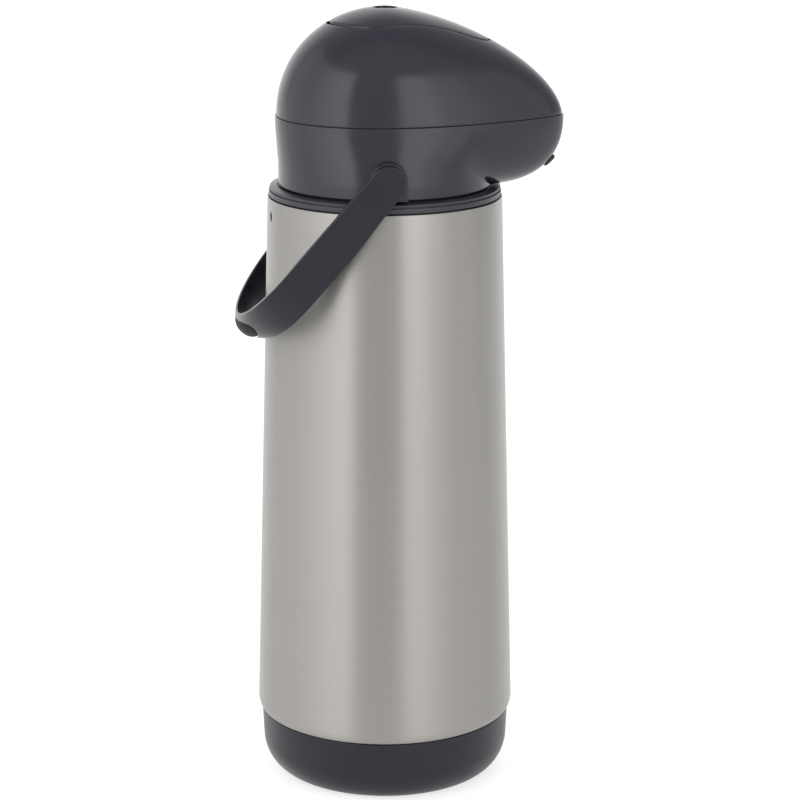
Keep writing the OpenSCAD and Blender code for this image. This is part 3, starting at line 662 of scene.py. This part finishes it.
def pad_fittings(obj):
    """Adds the pusher, the cap's boss and the hinge knuckles under the press pad."""
    knuckle_w, cap_room = 2.4, 0.15
    half_turn = np.linspace(-math.pi / 2, math.pi / 2, 25)
    ball = lathe("pusher", [(PUSHER_R * max(0, math.cos(a)), PUSHER_R * math.sin(a)) for a in half_turn], 64)
    place(ball, Matrix.Translation((PUMP_X * MM, 0, (PUSHER_Z + PUSHER_R) * MM)))
    fittings = [ball, rod("boss", 0, 0, CAP_R + 1.8, CAP_FLOOR_Z - 3.5, CAP_FLOOR_Z - cap_room, 64)]
    for low_y in (2.6, -5):
        fittings.append(block("knuckle", (HINGE_X - 3, low_y, HINGE_Z - 3),
                              (HINGE_X + 2.5, low_y + knuckle_w, HINGE_Z + 3.5)))
    combine(obj, joined(fittings), "UNION")
    cutters = [rod("bore", 0, 0, CAP_STEM_R, CAP_FLOOR_Z - 4, CAP_FLOOR_Z + 1)]
    cutters.append(across_rod("bore", HINGE_Z, HINGE_R + 0.05, -LUG_Y, LUG_Y, 48, HINGE_X))
    combine(obj, joined(cutters), "DIFFERENCE")


def head_upper():
    """Upper housing: the dome with its opening for the press pad, and the thin seam at its foot."""
    edge, foot = 0.3, 0.12
    wide = edge_level(TURNS, OPENING_GAPS, 0, edge)
    outer = dome_rows(wide, [k / 48 for k in range(1, 49)], 0)
    rim = []
    for a in np.linspace(0, math.pi / 2, 6)[1:]:
        level = edge_level(TURNS, OPENING_GAPS, 0, edge * (1 - math.sin(a)))
        rim.append(shifted(dome_point(TURNS, level), -edge * (1 - math.cos(a))))
    inner_level = edge_level(TURNS, OPENING_GAPS, WALL)
    inner = dome_rows(inner_level, [k / 24 for k in range(24, 0, -1)], WALL)
    low = [shifted(dome_rows(wide, [0], foot * (1 - math.sin(a)))[0], SEAM_GAP + foot * (1 - math.cos(a)))
           for a in np.linspace(0, math.pi / 2, 5)]
    base_in = shifted(dome_rows(inner_level, [0], WALL)[0], SEAM_GAP)
    obj = make_object("head_upper_shell", *loft(low + outer + rim + inner + [base_in], loop=True))
    housing_fittings(obj)
    return finish_piece(obj, head_gloss, "head", ["head_upper"], 34)


def press_pad():
    """Press pad: the dome's crown with a rounded rim, a skirt under it and the recess for the round cap."""
    edge, hole, round_r, stem_room = 0.5, CAP_R + 0.1, 0.4, 3
    out_level = edge_level(TURNS, PAD_GAPS, 0)
    rim = []
    for a in np.linspace(0, math.pi / 2, 6):
        level = edge_level(TURNS, PAD_GAPS, 0, -edge * (1 - math.cos(a)))
        rim.append(shifted(dome_point(TURNS, level), -edge * (1 - math.sin(a))))
    start = edge_level(TURNS, PAD_GAPS, 0, -edge)
    stop = circle_level(TURNS, hole + round_r)
    crown = [dome_point(TURNS, start + (stop - start) * k / 30) for k in range(1, 31)]
    recess = []
    for a in np.linspace(0, math.pi / 2, 5)[1:]:
        level = circle_level(TURNS, hole + round_r * (1 - math.sin(a)))
        recess.append(shifted(dome_point(TURNS, level), -round_r * (1 - math.cos(a))))
    floor = recess[-1].copy()
    floor[:, 2] = CAP_FLOOR_Z
    flat = [floor, floor * np.array([0.5, 0.5, 1])]
    inner_level = edge_level(TURNS, PAD_GAPS, PAD_SHELL, -PAD_SHELL)
    inner_stop = circle_level(TURNS, stem_room, PAD_SHELL)
    inner = [dome_point(TURNS, inner_level + (inner_stop - inner_level) * k / 16, PAD_SHELL)
             for k in range(16, -1, -1)]
    skirt = [shifted(inner[-1], -(PAD_SKIRT - PAD_SHELL)), shifted(dome_point(TURNS, out_level), -PAD_SKIRT)]
    rings = inner + skirt + rim + crown + recess + flat
    top_in = SEAM_Z + DOME_H - PAD_SHELL
    obj = make_object("press_pad_shell", *loft(rings, start=(0, 0, top_in - 0.1), end=(0, 0, CAP_FLOOR_Z)))
    pad_fittings(obj)
    return finish_piece(obj, head_gloss, "pad", ["press_pad"], 34)


def pad_cap():
    """Round cap on the pad, with a stem under it and a fine ring groove on top."""
    z, foot_z = CAP_FLOOR_Z, CAP_FLOOR_Z - 3.9
    stem = [(0, foot_z, 0), (CAP_STEM_R, foot_z, 0.3), (CAP_STEM_R, z, 0)]
    rim = [(CAP_R, z, 0), (CAP_R, z + 0.5, 0.25), (4.6, z + 0.65, 0.4)]
    groove = [(4.3, z + 0.4, 0.1), (4.0, z + 0.4, 0.1), (3.7, z + 0.65, 0.3)]
    obj = lathe("pad_cap_disc", rounded(stem + rim + groove + [(0, z + 0.7, 0)]), 96)
    return finish_piece(obj, black_rubber, "pad", ["pad_cap"])


def folds_with_pad(obj):
    """Moves a piece that stands on the bellows seat over the pump's axis and gives it a mesh of its own."""
    place(obj, Matrix.Translation((PUMP_X * MM, 0, 0)))
    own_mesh(obj)


def bellows():
    """Pleated rubber wall between its seat and the plunger."""
    pleats, fold, wall, crease = 6, 6, 1.2, 0.8
    pitch = (BELLOWS_TOP_Z - SEAT_TOP_Z) / pleats
    outside = []
    for k in range(pleats):
        outside += [(BELLOWS_R - fold, SEAT_TOP_Z + k * pitch, crease if k else 0),
                    (BELLOWS_R, SEAT_TOP_Z + (k + 0.5) * pitch, crease)]
    inside = [(r - wall, z, radius) for r, z, radius in reversed(outside)]
    top = [(BELLOWS_R - fold, BELLOWS_TOP_Z, 0), (BELLOWS_R - fold - wall, BELLOWS_TOP_Z, 0)]
    obj = lathe("bellows_wall", rounded(outside + top + inside), 96)
    finish_piece(obj, black_rubber, "head", ["bellows"], 60)
    folds_with_pad(obj)


def return_spring():
    """Coiled wire inside the bellows."""
    per_turn, sides, room = 32, 12, 0.1
    low, high = SEAT_TOP_Z + WIRE_R + room, BELLOWS_TOP_Z - WIRE_R - room
    section = np.arange(sides) * 2 * math.pi / sides
    reach, lift = SPRING_R + WIRE_R * np.cos(section), WIRE_R * np.sin(section)
    rings = []
    for k in range(SPRING_TURNS * per_turn + 1):
        share = k / (SPRING_TURNS * per_turn)
        turn = 2 * math.pi * k / per_turn
        height = low + (high - low) * share + lift
        rings.append(np.stack([reach * math.cos(turn), reach * math.sin(turn), height], 1))
    centres = [tuple(ring.mean(0)) for ring in (rings[0], rings[-1])]
    obj = make_object("return_spring_wire", *loft(rings, start=centres[0], end=centres[1]))
    finish_piece(obj, pin_steel, "head", ["return_spring"], 60)
    folds_with_pad(obj)


def nozzle():
    """Spout with a rolled tip and a waist, on the nozzle's own axis."""
    tip = [(2.4, 1.5, 0.4), (2.9, 0.9, 0.3), (3.4, 0.9, 0.4), (3.75, 1.3, 0.3), (3.75, 2.2, 0.3)]
    waist = [(3.5, 2.7, 0.3), (3.5, 3.6, 0.3)]
    root = [(3.95, 4.1, 0), (3.95, 9, 0), (2.6, 9, 0), (2.6, 2.2, 0.3)]
    obj = place(lathe("nozzle_tip", rounded(tip + waist + root), 72), NOZZLE_PLACE)
    return finish_piece(obj, black_rubber, "head", ["nozzle"])


# ---------- handle ----------

REST, ARM_Y, ARM_T, ARM_TOP, ARM_BOTTOM = math.radians(49.1), 61, 4, 8.7, -8.4
ARM_DROP, ARM_DROP_S, GRIP_LIFT = 2.1, 43, 6.5
BEND_S, GRIP_S, BEND_POWER = 67.4, 105.8, 2.07
EYE_R, EYE_N = 8.55, 0.15
FILLET_R, CROWN_H, SLANT = 0.7, 3.7, 1.2
STUB_R, STUB_ENDS = 3, ((54.5, 61.5), (-61.5, -54.5))
GRIP_PAD_N, GRIP_PAD_HALF_N, GRIP_PAD_HALF_Y = 0.3, 6.3, 40
GRIP_PAD_ROOT, GRIP_PAD_FOOT, GRIP_PAD_RISE = 1.6, 3.2, 3.8
GRIP_PAD_POWER_N, GRIP_PAD_POWER_Y = 2.2, 4


def bail_line():
    """Half of the grip's inner line from the arm's round end to the middle: along, across, grip share."""
    end = [(-EYE_R * math.cos(a), ARM_Y, 0.0) for a in np.linspace(0.02, math.pi / 2, 26)]
    arm = [(s, ARM_Y, 0.0) for s in np.linspace(1.5, BEND_S - 0.8, 44)]
    bend = []
    for a in np.linspace(0.02, math.pi / 2, 150):
        bend.append((BEND_S + (GRIP_S - BEND_S) * math.sin(a) ** (2 / BEND_POWER),
                     ARM_Y * max(0, math.cos(a)) ** (2 / BEND_POWER), math.sin(a) ** 2))
    half = end + arm + bend
    return np.array(half + [(s, -y, g) for s, y, g in reversed(half[:-1])])


def bail_outward(s, y):
    """Unit direction away from the loop at each place of the inner line."""
    step_s, step_y = np.gradient(s), np.gradient(y)
    return np.stack([-step_y, step_s], -1) / np.hypot(step_s, step_y)[:, None]


def bail_point(s, y, out, n, q):
    """Place in the frame of a point that is n up the band and q outward from the inner line."""
    along = s + out[..., 0] * q
    return np.stack([-along * math.cos(REST) - n * math.sin(REST), y + out[..., 1] * q,
                     PIVOT_Z - along * math.sin(REST) + n * math.cos(REST)], -1)


def pad_spread(y, n, room=0.0):
    """0 at the middle of the soft grip pad, 1 on its outline."""
    return (np.abs((n - GRIP_PAD_N) / (GRIP_PAD_HALF_N + room)) ** GRIP_PAD_POWER_N
            + np.abs(y / (GRIP_PAD_HALF_Y + room)) ** GRIP_PAD_POWER_Y)


def handle():
    """Bail: flat arms with round ends, a crowned grip with a recess for its pad, and two stubs."""
    s, y, grip = bail_line().T
    out = bail_outward(s, y)
    upper = np.full_like(s, ARM_TOP)
    lower = GRIP_LIFT * grip ** 2 + ARM_BOTTOM - ARM_DROP * ease(s / ARM_DROP_S)
    round_end = s < 0
    reach = np.sqrt(np.maximum(0, EYE_R ** 2 - s ** 2))
    upper = np.where(round_end, EYE_N + reach, upper)
    lower = np.where(round_end, EYE_N - reach, lower)
    near_edge = 0.07 * (1 - np.cos(np.linspace(0, math.pi / 2, 8)))
    spots = np.concatenate([1 - near_edge, np.linspace(0.93, -0.93, 33)[1:-1], near_edge[::-1] - 1])
    centre, half = ((upper + lower) / 2)[:, None], ((upper - lower) / 2)[:, None]
    nu = np.broadcast_to(spots, (len(s), len(spots)))
    n = centre + half * nu
    inside = np.where(round_end[:, None],
                      EYE_R - np.hypot(s[:, None], n - EYE_N), half * (1 - np.abs(nu)))
    inside = np.maximum(0, inside)
    g = grip[:, None]
    crown = GRIP_PAD_ROOT + CROWN_H * np.maximum(0, 1 - np.abs(nu + 0.1) ** 2.4) ** 0.8
    thick = ARM_T + (crown - ARM_T) * g
    slant = SLANT * g * (1 - nu) / 2
    fillet = np.minimum(FILLET_R, 0.45 * thick)
    lost = fillet * (1 - np.sqrt(np.maximum(0, 1 - np.maximum(0, 1 - inside / fillet) ** 2)))
    recess = 3 * np.clip((1 - pad_spread(y[:, None], n, 0.3)) / 0.14, 0, 1) ** 0.6
    q_in = slant + lost
    q_out = slant + np.maximum(thick - lost - recess, lost + 0.5)
    place_on = (s[:, None], y[:, None], out[:, None])
    rings = np.concatenate([bail_point(*place_on, n, q_in), bail_point(*place_on, n, q_out)[:, ::-1]], 1)
    verts, faces = loft(list(rings))
    count = rings.shape[1]
    faces += [tuple(range(count)), tuple((len(rings) - 1) * count + j for j in range(count))]
    obj = make_object("handle_bail", verts, faces)
    for low, high in STUB_ENDS:
        combine(obj, across_rod("stub", PIVOT_Z, STUB_R, low, high, 64), "UNION")
    return finish_piece(obj, grip_charcoal, "bail", ["handle"], 40)


def grip_pad():
    """Soft dark pad that fills the recess in the outer face of the grip."""
    s, y, _ = bail_line().T
    out = bail_outward(s, y)
    around = np.arange(192) * 2 * math.pi / 192
    across, level = np.cos(around), np.sin(around)

    def ring(share, q):
        n = GRIP_PAD_N + GRIP_PAD_HALF_N * np.sign(level) * (share * level ** 2) ** (1 / GRIP_PAD_POWER_N)
        side = GRIP_PAD_HALF_Y * np.sign(across) * (share * across ** 2) ** (1 / GRIP_PAD_POWER_Y)
        at = [np.interp(-side, -y, values) for values in (s, out[:, 0], out[:, 1])]
        return bail_point(at[0], side, np.stack(at[1:], -1), n, q)

    shares = [float(v) for v in 1 - np.linspace(0.97, 0, 30) ** 1.6]
    top = [ring(share, GRIP_PAD_FOOT + GRIP_PAD_RISE * (1 - share) ** 0.6) for share in shares]
    under = [ring(share, GRIP_PAD_ROOT) for share in reversed(shares)]
    crown, root = ring(0, GRIP_PAD_FOOT + GRIP_PAD_RISE)[0], ring(0, GRIP_PAD_ROOT)[0]
    obj = make_object("grip_pad", *loft(top + under, start=tuple(crown), end=tuple(root)))
    return finish_piece(obj, soft_grip_and_painted_shade, "bail", [], 50)


# ---------- build ----------

base_cup()
steel_shell()
shoulder_collar()
shell_pegs()
head_lower()
head_upper()
press_pad()
pad_cap()
bellows()
return_spring()
nozzle()
handle()
grip_pad()

slot_of_node = {part["node"]: part["material_slot"] for part in frame["record"]["subparts"]}
for node_name, node in frame["nodes"].items():
    node.data.materials.clear()
    node.data.materials.append(SLOT_MATERIALS[slot_of_node[node_name]])


# ---------- floor and light, in metres ----------

FLOOR_R, ARC_R, ARC_LOW, ARC_STEPS = 30, 1.7, -0.5, 90


def floor():
    """Pale floor that glows a little more toward the back, so that it meets the background softly."""
    work = bmesh.new()
    bmesh.ops.create_circle(work, cap_ends=True, segments=96, radius=FLOOR_R)
    mesh = bpy.data.meshes.new("floor")
    work.to_mesh(mesh)
    work.free()
    obj = bpy.data.objects.new("floor", mesh)
    scene.collection.objects.link(obj)
    material, nodes, links, surface = shader("floor_white", (0.5, 0.5, 0.5), 0.6, Specular_IOR_Level=0.2)
    surface.inputs["Emission Color"].default_value = (1, 1, 1, 1)
    place_in = nodes.new("ShaderNodeTexCoord")
    split = nodes.new("ShaderNodeSeparateXYZ")
    links.new(place_in.outputs["Object"], split.inputs["Vector"])
    glow = spread(nodes, links, split.outputs["Y"], 0.38, 0.7, -0.7, 0.05)
    links.new(glow, surface.inputs["Emission Strength"])
    mesh.materials.append(material)


def light_arc(name, stops, high):
    """Curved glowing wall round the object that the camera doesn't see, from (azimuth, radiance) stops."""
    steps = np.linspace(stops[0][0], stops[-1][0], ARC_STEPS)
    glow = np.interp(steps, [a for a, _ in stops], [r for _, r in stops])
    turns = np.radians(steps)
    rows = [np.stack([np.sin(turns) * ARC_R, -np.cos(turns) * ARC_R, np.full(len(turns), z)], 1)
            for z in (ARC_LOW, high)]
    verts = np.concatenate(rows)
    count = len(steps)
    faces = [(k, k + 1, count + k + 1, count + k) for k in range(count - 1)]
    mesh = bpy.data.meshes.new(name)
    mesh.from_pydata(verts.tolist(), [], faces)
    shades = mesh.attributes.new("glow", "FLOAT", "POINT")
    shades.data.foreach_set("value", np.concatenate([glow, glow]).astype(np.float32))
    obj = bpy.data.objects.new(name, mesh)
    scene.collection.objects.link(obj)
    material, nodes, links, surface = shader(name, (0, 0, 0), 1)
    surface.inputs["Emission Color"].default_value = (1, 1, 1, 1)
    shade = nodes.new("ShaderNodeAttribute")
    shade.attribute_name = "glow"
    links.new(shade.outputs["Fac"], surface.inputs["Emission Strength"])
    mesh.materials.append(material)
    obj.visible_camera = False
    obj.visible_shadow = False


def world_light():
    """Soft studio surround: brightest behind the object, darkest at its sides, a little brighter overhead."""
    world = bpy.data.worlds.new("studio")
    scene.world = world
    world.use_nodes = True
    nodes, links = world.node_tree.nodes, world.node_tree.links
    toward = nodes.new("ShaderNodeTexCoord")
    split = nodes.new("ShaderNodeSeparateXYZ")
    links.new(toward.outputs["Generated"], split.inputs["Vector"])
    behind = nodes.new("ShaderNodeValToRGB")
    stops = behind.color_ramp.elements
    for place_at, level in ((0.35, 0.57), (0.5, 0.36), (0.75, 0.46), (0.9, 0.9)):
        stops.new(place_at).color = (level, level, level, 1)
    stops[0].color = (0.6, 0.6, 0.6, 1)
    stops[-1].color = (0.95, 0.95, 0.95, 1)
    links.new(spread(nodes, links, split.outputs["Y"], 0, 1, -1, 1), behind.inputs["Fac"])
    above = spread(nodes, links, split.outputs["Z"], 1.4, 1.5, 0.25, 0.8)
    product = nodes.new("ShaderNodeMath")
    product.operation = "MULTIPLY"
    links.new(behind.outputs["Color"], product.inputs[0])
    links.new(above, product.inputs[1])
    background = nodes["Background"]
    background.inputs["Color"].default_value = (1, 1, 1, 1)
    links.new(product.outputs[0], background.inputs["Strength"])


floor()
world_light()
light_arc("left_glow", ((-122, 0.9), (-118, 1.1), (-92, 1.3), (-78, 1.6), (-66, 2), (-52, 2.4),
                        (-40, 2.8), (-32, 2.75), (-29, 0.9)), 2)
light_arc("right_glow", ((13, 0.8), (15, 2.5), (34, 2.5), (40, 1.8), (53, 1.55), (62, 1.1), (95, 0.9)), 1.8)
